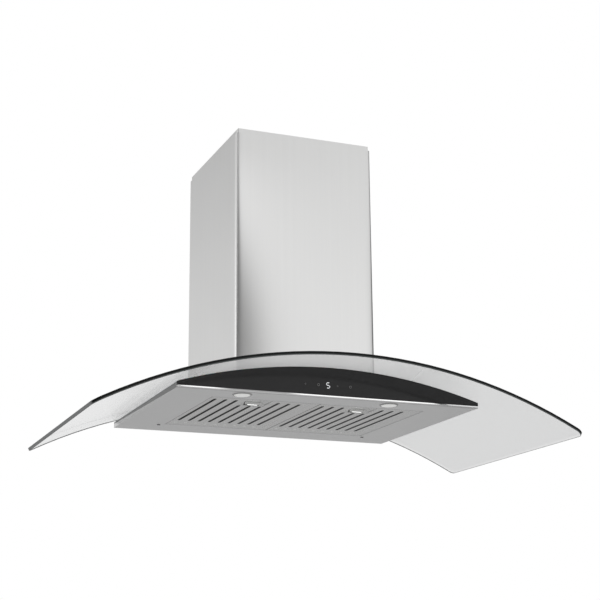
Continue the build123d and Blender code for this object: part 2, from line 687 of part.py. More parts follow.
with BuildPart() as cable_gland:
    gland_start = case_left - gland_r
    bar((gland_start, cable_y, level(cable_height)), Plane.YZ, gland_r, gland_r)
    bar((case_left, cable_y, level(cable_height)), Plane.YZ, gland_neck_r, case_wall)
    bar((gland_start - clear, cable_y, level(cable_height)), Plane.YZ, cable_r,
        gland_r + case_wall + 2 * clear, Mode.SUBTRACT)
save(cable_gland.part, "cable_gland")

with BuildPart() as capacitor:
    bar((capacitor_x, capacitor_y, level(box_top)), Plane.XY, capacitor_r, capacitor_height)
    fillet(capacitor.edges().sort_by(Axis.Z)[-1], 2)
    can_top = box_top + capacitor_height
    for x in about(capacitor_x, 4):
        block(about(x, 0.4), about(capacitor_y, 2), (can_top, can_top + 6))
save(capacitor.part, "capacitor")


# ---- chimney covers ----
# A cover is a folded sheet, open at the wall, with two flanges turned in there.
def cover(half_width, front, rear, heights):
    through = (heights[0] - clear, heights[1] + clear)
    block((-half_width, half_width), (front, rear), heights)
    block(about(0, half_width - sheet), (front + sheet, rear - sheet), through, Mode.SUBTRACT)
    block(about(0, half_width - rear_flange), (rear - 2 * sheet, rear + clear), through,
          Mode.SUBTRACT)


lower_top = chimney_top - cover_reveal
with BuildPart() as chimney_lower:
    cover(chimney_half, -chimney_depth, 0, (0, lower_top))
    fillet(chimney_lower.edges().filter_by(Axis.Z).group_by(Axis.Y)[0], cover_corner)
    under_canopy(glass_radius, Mode.SUBTRACT)
save(chimney_lower.part, "chimney_lower")

upper_half = chimney_half - sheet - cover_slide_gap
upper_front = -chimney_depth + sheet + cover_slide_gap
upper_rear = -2 * sheet
with BuildPart() as chimney_upper:
    cover(upper_half, upper_front, upper_rear, (chimney_top - upper_length, chimney_top))
    fillet(chimney_upper.edges().filter_by(Axis.Z).group_by(Axis.Y)[0], cover_corner)
    for x in (-bracket_screw_x, bracket_screw_x):
        bar((x, clear, level(bracket_height)), Plane.XZ, bracket_screw_r + 0.1, 5, Mode.SUBTRACT)
save(chimney_upper.part, "chimney_upper")

# Felt strips that guide the upper cover, on three sides inside the top of the lower one
with BuildPart() as cover_felts:
    felt = (lower_top - felt_width - 2, lower_top - 2)
    inner = chimney_half - sheet
    inner_front = sheet - chimney_depth
    for side in (-1, 1):
        block((side * inner, side * (inner - felt_thickness)), (inner_front + 9, -20), felt)
    block(about(0, inner - 10), (inner_front, inner_front + felt_thickness), felt)
save(cover_felts.part, "cover_felts")

# Plastic blocks that keep the foot of the lower cover off the box
with BuildPart() as cover_locators:
    for side in (-1, 1):
        block((side * (box_x + 0.2), side * (chimney_half - sheet)),
              (locator_front, locator_rear), (locator_low, locator_high))
        under_canopy(glass_radius, Mode.SUBTRACT)
        curved_sheet(frame_r, glass_radius, duct_x + frame_land + 0.5,
                     (locator_front - clear, locator_rear + clear), Mode.SUBTRACT)
save(cover_locators.part, "cover_locators")

# Strip that screws to the wall and holds the top of the upper cover
flange_face = upper_rear - sheet
with BuildPart() as wall_bracket:
    span = about(bracket_height, bracket_width / 2)
    block((-bracket_step, bracket_step), (-bracket_sheet, 0), span)
    for side in (-1, 1):
        step = (side * bracket_step, side * (bracket_step - bracket_sheet))
        block(step, (flange_face - bracket_sheet, 0), span)
        block((step[1], side * bracket_end), (flange_face - bracket_sheet, flange_face), span)
        bar((side * bracket_hole_x, clear, level(bracket_height)), Plane.XZ, bracket_hole_r,
            bracket_sheet + 2 * clear, Mode.SUBTRACT)
        bar((side * bracket_screw_x, clear, level(bracket_height)), Plane.XZ,
            bracket_screw_r + 0.1, 8, Mode.SUBTRACT)
save(wall_bracket.part, "wall_bracket")

with BuildPart() as bracket_screws:
    head_face = flange_face - bracket_sheet
    for x in (-bracket_screw_x, bracket_screw_x):
        bar((x, head_face + 3.1, level(bracket_height)), Plane.XZ, bracket_screw_r, 4)
        bar((x, head_face, level(bracket_height)), Plane.XZ, 2 * bracket_screw_r + 0.2, 2.4)
        fillet(bracket_screws.edges().filter_by(GeomType.CIRCLE).sort_by(Axis.Y)[0], 1)
save(bracket_screws.part, "bracket_screws")
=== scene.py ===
import json
import bpy
import bmesh
import numpy as np
from mathutils import Matrix, Vector


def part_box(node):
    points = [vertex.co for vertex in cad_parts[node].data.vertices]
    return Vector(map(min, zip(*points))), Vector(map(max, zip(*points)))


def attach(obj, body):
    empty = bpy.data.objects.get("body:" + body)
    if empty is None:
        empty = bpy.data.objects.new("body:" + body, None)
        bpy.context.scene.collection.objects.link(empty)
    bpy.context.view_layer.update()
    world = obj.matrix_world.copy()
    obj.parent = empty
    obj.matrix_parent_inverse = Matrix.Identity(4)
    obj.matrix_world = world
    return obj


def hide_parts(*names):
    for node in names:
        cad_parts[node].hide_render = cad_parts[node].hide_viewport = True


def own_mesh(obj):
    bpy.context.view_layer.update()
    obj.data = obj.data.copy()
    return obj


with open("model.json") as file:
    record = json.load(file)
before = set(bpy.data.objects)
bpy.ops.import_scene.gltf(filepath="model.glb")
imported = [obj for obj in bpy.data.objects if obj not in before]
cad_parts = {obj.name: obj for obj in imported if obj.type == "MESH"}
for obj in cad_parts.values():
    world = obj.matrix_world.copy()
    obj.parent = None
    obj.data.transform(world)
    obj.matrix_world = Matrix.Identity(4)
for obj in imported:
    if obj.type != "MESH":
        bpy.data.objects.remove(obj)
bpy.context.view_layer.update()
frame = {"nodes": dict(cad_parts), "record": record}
nodes = frame["nodes"]
print("frame loaded with", len(nodes), "nodes")

mm = 0.001
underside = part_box("body_shell")[0].z
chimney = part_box("chimney_lower")
canopy = {"radius": 968 * mm, "thickness": 6 * mm, "apex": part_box("glass_canopy")[1].z}
canopy["axis"] = canopy["apex"] - canopy["radius"]


# A value in a material's node tree. Arithmetic on it adds Math nodes.
class Tone:
    def __init__(self, tree, socket=None):
        self.tree = tree
        self.socket = socket

    def node(self, kind, settings, sockets, output=0):
        made = self.tree.nodes.new("ShaderNode" + kind)
        for name, value in settings.items():
            setattr(made, name, value)
        for name, value in sockets.items():
            if isinstance(value, Tone):
                self.tree.links.new(value.socket, made.inputs[name])
            else:
                made.inputs[name].default_value = value
        return Tone(self.tree, made.outputs[output])

    def maths(self, operation, first, second=0.0):
        return self.node("Math", {"operation": operation}, {0: first, 1: second})

    def __add__(self, other):
        return self.maths("ADD", self, other)

    def __radd__(self, other):
        return self.maths("ADD", other, self)

    def __sub__(self, other):
        return self.maths("SUBTRACT", self, other)

    def __rsub__(self, other):
        return self.maths("SUBTRACT", other, self)

    def __mul__(self, other):
        return self.maths("MULTIPLY", self, other)

    def __rmul__(self, other):
        return self.maths("MULTIPLY", other, self)

    def __truediv__(self, other):
        return self.maths("DIVIDE", self, other)

    def __pow__(self, other):
        return self.maths("POWER", self, other)

    def __abs__(self):
        return self.maths("ABSOLUTE", self)


def rgba(colour):
    shades = (colour,) * 3 if isinstance(colour, (int, float)) else tuple(colour)
    return shades + (1.0,)


def newMaterial(name):
    material = bpy.data.materials.new(name)
    material.use_nodes = True
    material.node_tree.nodes.clear()
    return material, Tone(material.node_tree)


def place(tone):
    return tone.node("TexCoord", {}, {}, "Object")


def scaled(point, factors):
    return point.node("VectorMath", {"operation": "MULTIPLY"}, {0: point, 1: factors})


def axes(point):
    parts = point.node("SeparateXYZ", {}, {0: point})
    return [Tone(point.tree, output) for output in parts.socket.node.outputs]


# Noise from 0 to 1 whose features are about sizes (x, y, z) metres across
def noise(point, sizes, detail=2.0):
    sizes = (sizes,) * 3 if isinstance(sizes, (int, float)) else sizes
    spread = scaled(point, tuple(1 / size for size in sizes))
    return point.node("TexNoise", {}, {"Vector": spread, "Scale": 1.0, "Detail": detail})


def cells(point, size, output="Distance", feature="F1"):
    return point.node("TexVoronoi", {"feature": feature},
                      {"Vector": scaled(point, (1 / size,) * 3), "Scale": 1.0}, output)


# Smooth step of a value from 0 at low to 1 at high
def step(value, low, high):
    return value.node("MapRange", {"interpolation_type": "SMOOTHSTEP"},
                      {"Value": value, "From Min": low, "From Max": high})


# exp(-distance / reach)
def fading(distance, reach):
    return distance.maths("EXPONENT", distance * (-1 / reach))


def blendColour(factor, first, second):
    first = first if isinstance(first, Tone) else rgba(first)
    second = second if isinstance(second, Tone) else rgba(second)
    return factor.node("Mix", {"data_type": "RGBA"}, {0: factor, 6: first, 7: second}, 2)


# A colour made a little darker and lighter by a value around 0
def shaded(value, colour, depth):
    dark = [shade * (1 - depth) for shade in colour]
    light = [min(shade * (1 + depth), 1.0) for shade in colour]
    return blendColour(step(value, -1.0, 1.0), dark, light)


def bump(height, depth):
    return height.node("Bump", {}, {"Height": height, "Distance": depth, "Strength": 1.0},
                       "Normal")


def principled(tone, **sockets):
    named = {name.replace("_", " "): value for name, value in sockets.items()}
    return tone.node("BsdfPrincipled", {}, named, "BSDF")


def finish(material, shader):
    out = material.node_tree.nodes.new("ShaderNodeOutputMaterial")
    material.node_tree.links.new(shader.socket, out.inputs["Surface"])
    return material


# Steel sheet with a brushed grain: fine lines and broad soft streaks, both long along one axis,
# and slow clouds. A sheet may have a tone laid over it and a relief added to its grain.
def brushedSteel(name, look, ownTone=None, relief=None):
    material, tone = newMaterial(name)
    point = place(tone)
    along = "xyz".index(look["grain"])
    fine = [look["lineWidth"]] * 3
    fine[along] = look["lineLength"]
    broad = [look["streakWidth"]] * 3
    broad[along] = look["streakLength"]
    lines = noise(point, fine) * 2 - 1
    streaks = noise(point, broad) * 2 - 1
    clouds = noise(point, look["cloud"]) * 2 - 1
    wear = lines * look["lineShare"] + streaks * look["streakShare"] + clouds * look["cloudShare"]
    colour = shaded(wear, look["colour"], look["depth"])
    if ownTone:
        colour = ownTone(point, colour, look)
    rough = wear * look["roughChange"] + look["roughness"]
    height = (lines + streaks * look["streakRise"]) * look["bump"]
    if relief:
        height = height + relief(point, look)
    return finish(material, principled(tone, Base_Color=colour, Roughness=rough, Metallic=1.0,
                                       Normal=bump(height, 1.0)))


# 1 on the chimney's front and 0 on its sides
def chimneyFront(y, look):
    return 1 - step(y - chimney[0].y, look["faceFrom"], look["faceTo"])


# How far the sheet of the chimney is pulled in: 0 at pullHigh and above, 1 at pullLow and below
def pulledIn(z, look):
    return 1 - step(z, look["pullLow"], look["pullHigh"])


# Painted shade beside the two front folds of the chimney, stronger downwards: the dark
# reflection in each fold painted into the colour
def foldTone(point, colour, look):
    x, y, z = axes(point)
    near = fading(chimney[1].x - abs(x), look["shadeReach"]) * chimneyFront(y, look)
    strength = pulledIn(z, look) * look["shadeGrowth"] + look["shadeTop"]
    return blendColour(near * strength, colour, look["foldShade"])


# Height of the chimney's two front folds, in metres: the sheet falls off towards a fold as
# exp(-distance / reach) over a few millimetres, a little less so at the top of the front. On the
# left of the front it also falls gently over a wide stretch that grows downwards, as a bent
# sheet pulls in.
def foldRelief(point, look):
    x, y, z = axes(point)
    low, high = chimney
    onFront = chimneyFront(y, look)
    growing = pulledIn(z, look)
    slope = growing * look["slopeGrowth"] + look["slopeTop"]
    frontRelief = fading(high.x - abs(x), look["foldReach"]) * look["foldReach"] * slope
    sideRelief = fading(y - low.y, look["sideReach"]) * look["sideReach"]
    relief = onFront * frontRelief + (1 - onFront) * sideRelief
    pull = fading(x - low.x, look["pullReach"]) * growing * onFront * look["pullDrop"]
    return (relief + pull) * -1


# The body's low sides carry painted shade, as if in the shade of the glass: painted darker
# above a line that climbs from the underside at the front to the wedge height at the wall, and
# darkest along the very top.
def sideTone(point, colour, look):
    x, y, z = axes(point)
    low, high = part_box("body_shell")
    onSide = step(abs(x), high.x - look["skinFrom"], high.x - look["skinTo"])
    climb = (y - low.y) * (look["wedge"] / (high.y - low.y)) + underside
    shade = step(z - climb, -look["softBelow"], look["softAbove"]) * onSide
    top = underside + look["brimHeight"]
    brim = step(z, top - look["brimSoft"], top) * onSide
    return blendColour(brim, blendColour(shade, colour, look["sideShade"]), look["brim"])


# The baffles are painted as lit on their upper side only, with painted shade below
def baffleTone(point, colour, look):
    low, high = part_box("filter_left_baffles")
    upper = step(axes(point)[2], low.z + look["deepFrom"], high.z - look["deepTo"])
    return blendColour(upper, look["deep"], colour)


steelLook = {
    "colour": (0.76, 0.76, 0.755), "roughness": 0.30, "roughChange": 0.03, "depth": 0.022,
    "grain": "z", "lineWidth": 0.7 * mm, "lineLength": 0.12, "streakWidth": 9 * mm,
    "streakLength": 0.9, "cloud": 0.16, "lineShare": 0.6, "streakShare": 0.7,
    "cloudShare": 0.6, "bump": 0.003 * mm, "streakRise": 0.5,
}
chimneySteel = brushedSteel("chimney_steel", {
    **steelLook, "faceFrom": 0.2 * mm, "faceTo": 0.5 * mm, "foldReach": 2.2 * mm,
    "sideReach": 4.5 * mm, "slopeGrowth": 0.3, "slopeTop": 0.7, "pullReach": 70 * mm,
    "pullDrop": 30 * mm, "pullLow": -0.28, "pullHigh": 0.14, "foldShade": (0.10, 0.10, 0.10),
    "shadeReach": 4 * mm, "shadeGrowth": 0.8, "shadeTop": 0.1}, foldTone, foldRelief)
bodySteel = brushedSteel("body_steel", {
    **steelLook, "grain": "x", "colour": (0.695, 0.695, 0.695), "skinFrom": 0.6 * mm,
    "skinTo": 0.3 * mm, "sideShade": (0.25, 0.25, 0.25), "wedge": 7.2 * mm,
    "softBelow": 0.4 * mm, "softAbove": 0.8 * mm, "brim": (0.05, 0.05, 0.05),
    "brimHeight": 8.6 * mm, "brimSoft": 0.3 * mm}, sideTone)
filterSteel = brushedSteel("filter_steel", {
    **steelLook, "grain": "y", "colour": (0.64, 0.64, 0.635), "roughness": 0.27,
    "streakWidth": 5 * mm, "streakLength": 0.3, "depth": 0.04})
# The borders are painted darker than the filter sheet: painted shade along the gaps round the
# filters
borderSteel = brushedSteel("border_steel", {
    **steelLook, "grain": "y", "colour": (0.50, 0.50, 0.50)})
# The rolled slot lips are painted dark: painted shade along the slot edges and inside the slots
lipSteel = brushedSteel("lip_steel", {
    **steelLook, "grain": "y", "colour": (0.20, 0.20, 0.20), "roughness": 0.35})
baffleSteel = brushedSteel("baffle_steel", {
    **steelLook, "grain": "y", "colour": (0.60, 0.60, 0.595), "roughness": 0.34,
    "deep": (0.02, 0.02, 0.02), "deepFrom": 2 * mm, "deepTo": 0.8 * mm}, baffleTone)


# Zinc-coated sheet with its crystal spangle: cells with bent borders, each with a tone, a gloss
# and a tilt of its own
def makeGalvanised():
    look = {"colour": (0.60, 0.62, 0.63), "roughness": 0.34, "roughChange": 0.12, "depth": 0.07,
            "spangle": 5 * mm, "bend": 0.7, "cloud": 0.09, "cloudShare": 0.6,
            "grain": 0.9 * mm, "tilt": 0.4, "bump": 0.02 * mm}
    material, tone = newMaterial("galvanised_steel")
    point = place(tone)
    bent = noise(point, look["spangle"] * look["bend"], 1.0)
    bentAllWays = tone.node("CombineXYZ", {}, {0: bent, 1: bent, 2: bent})
    shift = scaled(bentAllWays, (look["spangle"],) * 3)
    moved = tone.node("VectorMath", {"operation": "ADD"}, {0: point, 1: shift})
    own = axes(cells(moved, look["spangle"], "Color"))
    clouds = noise(point, look["cloud"], 3.0) * 2 - 1
    colour = shaded(own[0] * 2 - 1 + clouds * look["cloudShare"], look["colour"], look["depth"])
    rough = own[1] * look["roughChange"] + look["roughness"]
    height = noise(point, look["grain"]) + own[2] * look["tilt"]
    return finish(material, principled(tone, Base_Color=colour, Roughness=rough, Metallic=1.0,
                                       Normal=bump(height, look["bump"])))


# Bright or satin metal with faint wiping marks, and where a glow is given, a painted highlight
def smoothMetal(name, look):
    material, tone = newMaterial(name)
    point = place(tone)
    marks = noise(point, look["mark"], 3.0) * 2 - 1
    pits = noise(point, look["grain"])
    colour = shaded(marks, look["colour"], look["depth"])
    rough = (marks * 0.5 + pits) * look["roughChange"] + look["roughness"]
    return finish(material, principled(
        tone, Base_Color=colour, Roughness=rough, Metallic=1.0, Normal=bump(pits, look["bump"]),
        Emission_Color=colour, Emission_Strength=look.get("glow", 0.0)))


latchLook = {"colour": (0.96, 0.96, 0.95), "roughness": 0.12, "roughChange": 0.06,
             "depth": 0.03, "mark": 0.02, "grain": 0.4 * mm, "bump": 0.004 * mm}
latchSteel = smoothMetal("latch_steel", latchLook)
# The tab's glow is a painted highlight, as if its folded lip caught a lamp
tabPaintedGlint = smoothMetal("tab_painted_glint", {**latchLook, "roughness": 0.10, "glow": 0.8})
lampRim = smoothMetal("lamp_rim", {
    "colour": (0.42, 0.42, 0.42), "roughness": 0.22, "roughChange": 0.08, "depth": 0.04,
    "mark": 0.01, "grain": 0.3 * mm, "bump": 0.003 * mm})
zinc = smoothMetal("zinc_fastener", {
    "colour": (0.66, 0.67, 0.66), "roughness": 0.28, "roughChange": 0.12, "depth": 0.08,
    "mark": 0.006, "grain": 0.5 * mm, "bump": 0.01 * mm})
plateScrew = smoothMetal("plate_screw", {
    "colour": (0.07, 0.07, 0.07), "roughness": 0.34, "roughChange": 0.10, "depth": 0.06,
    "mark": 0.006, "grain": 0.5 * mm, "bump": 0.01 * mm})
castAluminium = smoothMetal("cast_aluminium", {
    "colour": (0.55, 0.56, 0.57), "roughness": 0.48, "roughChange": 0.16, "depth": 0.08,
    "mark": 0.008, "grain": 1.1 * mm, "bump": 0.08 * mm})


# Trim strip under the fascia: a polished upper bead over a satin lower half. Over a stretch
# left of the middle the bead is painted darker, a painted dim reflection
def makeTrim():
    look = {"bright": (0.97, 0.97, 0.97), "paintedDim": (0.30, 0.30, 0.30), "satin": (0.46, 0.46, 0.46),
            "beadFoot": 1.7 * mm, "soft": 0.3 * mm, "paintedDimFrom": -0.225, "paintedDimTo": -0.055,
            "fade": 0.04, "roughness": 0.06, "satinRough": 0.22, "mark": 0.05, "markRough": 0.06}
    material, tone = newMaterial("trim_steel")
    point = place(tone)
    x, _, z = axes(point)
    foot = underside + look["beadFoot"]
    bead = step(z, foot - look["soft"], foot + look["soft"])
    # Painted dim reflection: the bead is painted darker over this stretch
    paintedDim = step(x, look["paintedDimFrom"], look["paintedDimFrom"] + look["fade"]) \
        - step(x, look["paintedDimTo"] - look["fade"], look["paintedDimTo"])
    beadColour = blendColour(paintedDim, look["bright"], look["paintedDim"])
    marks = noise(point, look["mark"], 3.0)
    colour = blendColour(bead, look["satin"], beadColour)
    rough = (1 - bead) * look["satinRough"] + marks * look["markRough"] + look["roughness"]
    return finish(material, principled(tone, Base_Color=colour, Roughness=rough, Metallic=1.0))


# Moulded plastic, rubber or paint: fine texture with slow changes of tone and gloss
def moulded(name, look):
    material, tone = newMaterial(name)
    point = place(tone)
    slow = noise(point, look["cloud"]) * 2 - 1
    grain = noise(point, look["grain"])
    colour = shaded(slow + grain * 0.6 - 0.3, look["colour"], look["depth"])
    rough = slow * look["roughChange"] + look["roughness"]
    return finish(material, principled(
        tone, Base_Color=colour, Roughness=rough, Normal=bump(grain, look["bump"]),
        Coat_Weight=look.get("coat", 0.0), Coat_Roughness=look["coatRough"],
        Sheen_Weight=look.get("sheen", 0.0), Subsurface_Weight=look.get("soft", 0.0),
        Subsurface_Scale=look["softReach"]))


plasticLook = {"roughness": 0.42, "roughChange": 0.08, "depth": 0.06, "cloud": 0.05,
               "grain": 0.5 * mm, "bump": 0.015 * mm, "coatRough": 0.2, "softReach": 2 * mm}
whitePlastic = moulded("white_plastic", {**plasticLook, "colour": (0.80, 0.80, 0.77)})
blackPlastic = moulded("black_plastic", {**plasticLook, "colour": (0.030, 0.031, 0.033),
                                         "depth": 0.25})
wheelPlastic = moulded("wheel_plastic", {**plasticLook, "colour": (0.42, 0.43, 0.44)})
blackRubber = moulded("black_rubber", {**plasticLook, "colour": (0.022, 0.022, 0.022),
                                       "roughness": 0.72, "depth": 0.3, "bump": 0.03 * mm})
siliconeSeal = moulded("clear_gasket", {**plasticLook, "colour": (0.66, 0.69, 0.68),
                                        "roughness": 0.35, "soft": 0.3})
motorPaint = moulded("motor_paint", {**plasticLook, "colour": (0.10, 0.105, 0.115),
                                     "roughness": 0.38, "depth": 0.15, "grain": 1.4 * mm,
                                     "bump": 0.05 * mm, "coat": 0.3})
feltStrip = moulded("felt", {**plasticLook, "colour": (0.13, 0.13, 0.135), "roughness": 0.95,
                             "depth": 0.35, "grain": 0.35 * mm, "bump": 0.12 * mm,
                             "sheen": 0.4})


# Frosted lens, a little bright of its own, with fine moulded grain
def makeLens():
    look = {"colour": (0.93, 0.93, 0.91), "depth": 0.03, "roughness": 0.30, "glow": 0.17,
            "grain": 0.7 * mm, "bump": 0.02 * mm}
    material, tone = newMaterial("lamp_lens")
    grain = noise(place(tone), look["grain"])
    colour = shaded(grain * 2 - 1, look["colour"], look["depth"])
    return finish(material, principled(
        tone, Base_Color=colour, Roughness=look["roughness"], Normal=bump(grain, look["bump"]),
        Emission_Color=colour, Emission_Strength=look["glow"]))


# Black glass painted on its back: a deep even gloss, wiped so slightly that hardly more than
# its roughness changes
def makeBlackGlass():
    look = {"colour": (0.037, 0.037, 0.0375), "depth": 0.04, "ior": 1.22, "roughness": 0.08,
            "roughChange": 0.04, "wipe": 0.06}
    material, tone = newMaterial("black_glass")
    wipe = noise(place(tone), look["wipe"])
    return finish(material, principled(
        tone, Base_Color=shaded(wipe * 2 - 1, look["colour"], look["depth"]), IOR=look["ior"],
        Roughness=wipe * look["roughChange"] + look["roughness"]))


# Clear bent glass. Each skin lets most light straight through and keeps a faint grey film, a
# painted reflection, which near the middle is painted stronger and paler at a glancing angle and
# glows a little there, a painted sheen. Its ground edges are painted nearly black along the front,
# painted shade where the light inside leaves the other way. At the ends and at the wall they are
# painted grey, and seen through the glass painted pale with a thin dark line along the inner side.
# Measured from the canopy's axis, the upper part of the front edge is painted the darker.
def makeClearGlass():
    look = {
        "film": (0.285, 0.30, 0.305), "cover": 0.215, "ior": 1.45, "gloss": 0.2,
        "glance": (0.95, 0.95, 0.95), "glanceFrom": 0.67, "glanceTo": 0.77,
        "glanceCover": 0.33, "glanceHalf": 0.20, "glanceEnd": 0.36, "glow": 0.17,
        "front": (0.001, 0.002, 0.0018), "lower": (0.10, 0.11, 0.108),
        "side": (0.50, 0.51, 0.51), "sideCover": 0.16, "line": (0.03, 0.032, 0.032),
        "lineCover": 1.0, "outside": (0.20, 0.205, 0.205), "darkFrom": 4.8 * mm,
        "darkTo": 3.8 * mm, "frontFrom": 9 * mm, "frontTo": 13 * mm, "edgeFrom": 0.8,
        "edgeTo": 0.95, "roughness": 0.06, "edgeRough": 0.24, "grind": 3 * mm,
        "grindRough": 0.1}
    material, tone = newMaterial("clear_glass")
    point = place(tone)
    x, y, z = axes(point)
    height = z - canopy["axis"]
    radius = (x * x + height * height) ** 0.5
    radial = tone.node("CombineXYZ", {}, {0: x / radius, 2: height / radius})
    facing = tone.node("LayerWeight", {}, {"Blend": 0.5, "Normal": radial}, "Facing")
    glance = step(facing, look["glanceFrom"], look["glanceTo"]) \
        * (1 - step(abs(x), look["glanceHalf"], look["glanceEnd"]))
    normal = tone.node("NewGeometry", {}, {}, "Normal")
    turned = tone.node("VectorTransform", {"vector_type": "NORMAL", "convert_from": "WORLD",
                                           "convert_to": "OBJECT"}, {0: normal})
    normalX, _, normalZ = axes(turned)
    outward = abs((normalX * x + normalZ * height) / radius)
    edge = 1 - step(outward, look["edgeFrom"], look["edgeTo"])
    upper = step(radius, canopy["radius"] - look["darkFrom"], canopy["radius"] - look["darkTo"])
    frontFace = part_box("glass_canopy")[0].y
    onFront = 1 - step(y, frontFace + look["frontFrom"], frontFace + look["frontTo"])
    inside = tone.node("NewGeometry", {}, {}, "Backfacing")
    # Painted edge tones: nearly black front, grey ends and rear, pale with a dark line through the
    # glass
    frontColour = blendColour(upper, look["lower"], look["front"])
    throughColour = blendColour(upper, look["line"], look["side"])
    sideColour = blendColour(inside, look["outside"], throughColour)
    edgeColour = blendColour(onFront, sideColour, frontColour)
    # Painted reflection: the grey film, paler and glowing at a glance
    film = blendColour(glance, look["film"], look["glance"])
    sideCover = upper * (look["sideCover"] - look["lineCover"]) + look["lineCover"]
    edgeCover = 1 - (1 - sideCover) * (1 - onFront) * inside
    skinCover = glance * look["glanceCover"] + look["cover"]
    grind = noise(point, look["grind"]) * look["grindRough"] + look["edgeRough"]
    return finish(material, principled(
        tone, Base_Color=blendColour(edge, film, edgeColour), IOR=look["ior"],
        Specular_IOR_Level=look["gloss"], Roughness=edge * grind + look["roughness"],
        Emission_Color=blendColour(glance * (1 - edge), 0.0, 1.0), Emission_Strength=look["glow"],
        Alpha=skinCover + (edgeCover - skinCover) * edge))


# Green board with its tracks and solder points; what stands on it is dark
def makeBoard():
    look = {"board": (0.012, 0.10, 0.045), "track": (0.03, 0.20, 0.09), "tin": (0.6, 0.6, 0.58),
            "parts": (0.035, 0.035, 0.04), "cell": 5 * mm, "padCell": 4 * mm,
            "trackFrom": 0.05, "trackTo": 0.1, "padFrom": 0.12, "padTo": 0.16,
            "top": 9.8 * mm, "soft": 0.3 * mm, "roughness": 0.5, "tinRough": 0.3}
    material, tone = newMaterial("circuit_board")
    point = place(tone)
    lines = cells(point, look["cell"], "Distance", "DISTANCE_TO_EDGE")
    track = 1 - step(lines, look["trackFrom"], look["trackTo"])
    pads = 1 - step(cells(point, look["padCell"]), look["padFrom"], look["padTo"])
    colour = blendColour(track, look["board"], look["track"])
    colour = blendColour(pads, colour, look["tin"])
    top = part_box("electronics_box")[0].z + look["top"]
    standing = step(axes(point)[2], top, top + look["soft"])
    rough = pads * (look["tinRough"] - look["roughness"]) + look["roughness"]
    return finish(material, principled(
        tone, Base_Color=blendColour(standing, colour, look["parts"]), Roughness=rough,
        Coat_Weight=0.3, Coat_Roughness=0.15))


# Plastic can with tinned terminals
def makeCapacitor():
    look = {"can": (0.70, 0.71, 0.72), "tin": (0.72, 0.71, 0.68), "depth": 0.05,
            "tinFrom": 6.05 * mm, "tinTo": 5.9 * mm, "roughness": 0.3, "roughChange": 0.1,
            "grain": 0.6 * mm, "bump": 0.01 * mm}
    material, tone = newMaterial("capacitor_case")
    point = place(tone)
    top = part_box("capacitor")[1].z
    tabs = step(axes(point)[2], top - look["tinFrom"], top - look["tinTo"])
    grain = noise(point, look["grain"])
    can = shaded(grain * 2 - 1, look["can"], look["depth"])
    return finish(material, principled(
        tone, Base_Color=blendColour(tabs, can, look["tin"]), Metallic=tabs,
        Roughness=grain * look["roughChange"] + look["roughness"],
        Normal=bump(grain, look["bump"])))


# Finish of each material slot, and the nodes that have one of their own instead
finishes = {
    "brushed_steel": chimneySteel, "clear_glass": makeClearGlass(),
    "black_glass": makeBlackGlass(), "filter_steel": filterSteel, "latch_steel": latchSteel,
    "lamp_lens": makeLens(), "lamp_rim": lampRim, "cast_aluminium": castAluminium,
    "galvanised_steel": makeGalvanised(), "zinc_fastener": zinc, "clear_gasket": siliconeSeal,
    "black_rubber": blackRubber, "white_plastic": whitePlastic, "black_plastic": blackPlastic,
    "wheel_plastic": wheelPlastic, "motor_paint": motorPaint, "circuit_board": makeBoard(),
    "capacitor_case": makeCapacitor(), "felt": feltStrip,
}
ownFinishes = {
    "body_shell": bodySteel, "front_trim": makeTrim(), "plate_screws": plateScrew,
    "filter_left_baffles": baffleSteel, "filter_right_baffles": baffleSteel,
}
for part in frame["record"]["subparts"]:
    name = part["node"]
    material = ownFinishes[name] if name in ownFinishes else finishes[part["material_slot"]]
    nodes[name].material_slots[0].material = material
print("finishes on", len(nodes), "nodes")


weld = {"merge": 0.002 * mm, "sliver": 0.001 * mm}


# Corners of the faces between the points of a grid, which always closes on itself along v, and
# along u too where it is a ring
def gridFaces(rows, columns, ring):
    u, v = np.meshgrid(np.arange(rows if ring else rows - 1), np.arange(columns), indexing="ij")
    u, v = u.ravel(), v.ravel()
    nextU = (u + 1) % rows
    nextV = (v + 1) % columns
    corners = [u * columns + v, nextU * columns + v, nextU * columns + nextV, u * columns + nextV]
    return np.stack(corners, axis=1)


# A piece that rides on a body and takes the finish it is given. Points that fall together are
# merged, which closes its ends.
def meshPiece(name, points, faces, look, body, slot, smooth=True):
    mesh = bpy.data.meshes.new(name)
    mesh.from_pydata(points.tolist(), [], faces.tolist())
    work = bmesh.new()
    work.from_mesh(mesh)
    bmesh.ops.remove_doubles(work, verts=work.verts, dist=weld["merge"])
    bmesh.ops.dissolve_degenerate(work, edges=work.edges, dist=weld["sliver"])
    bmesh.ops.recalc_face_normals(work, faces=work.faces)
    work.to_mesh(mesh)
    work.free()
    mesh.polygons.foreach_set("use_smooth", [smooth] * len(mesh.polygons))
    mesh.materials.append(look)
    piece = bpy.data.objects.new(name, mesh)
    bpy.context.scene.collection.objects.link(piece)
    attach(piece, body)
    return piece


def gridPiece(name, grid, look, body, slot, ring=False, smooth=True):
    faces = gridFaces(*grid.shape[:2], ring)
    return meshPiece(name, grid.reshape(-1, 3), faces, look, body, slot, smooth)


# One piece from several rings
def joinRings(name, rings, look, body, slot):
    starts = np.cumsum([0] + [ring.shape[0] * ring.shape[1] for ring in rings])
    faces = [gridFaces(*ring.shape[:2], True) + start for ring, start in zip(rings, starts)]
    points = [ring.reshape(-1, 3) for ring in rings]
    return meshPiece(name, np.concatenate(points), np.concatenate(faces), look, body, slot)


# Angles once round in equal steps
def fullTurn(count):
    return np.linspace(0, 2 * np.pi, count, endpoint=False)


# Directions (cos, sin) of a row of angles
def directions(turn):
    return np.stack([np.cos(turn), np.sin(turn)], axis=1)


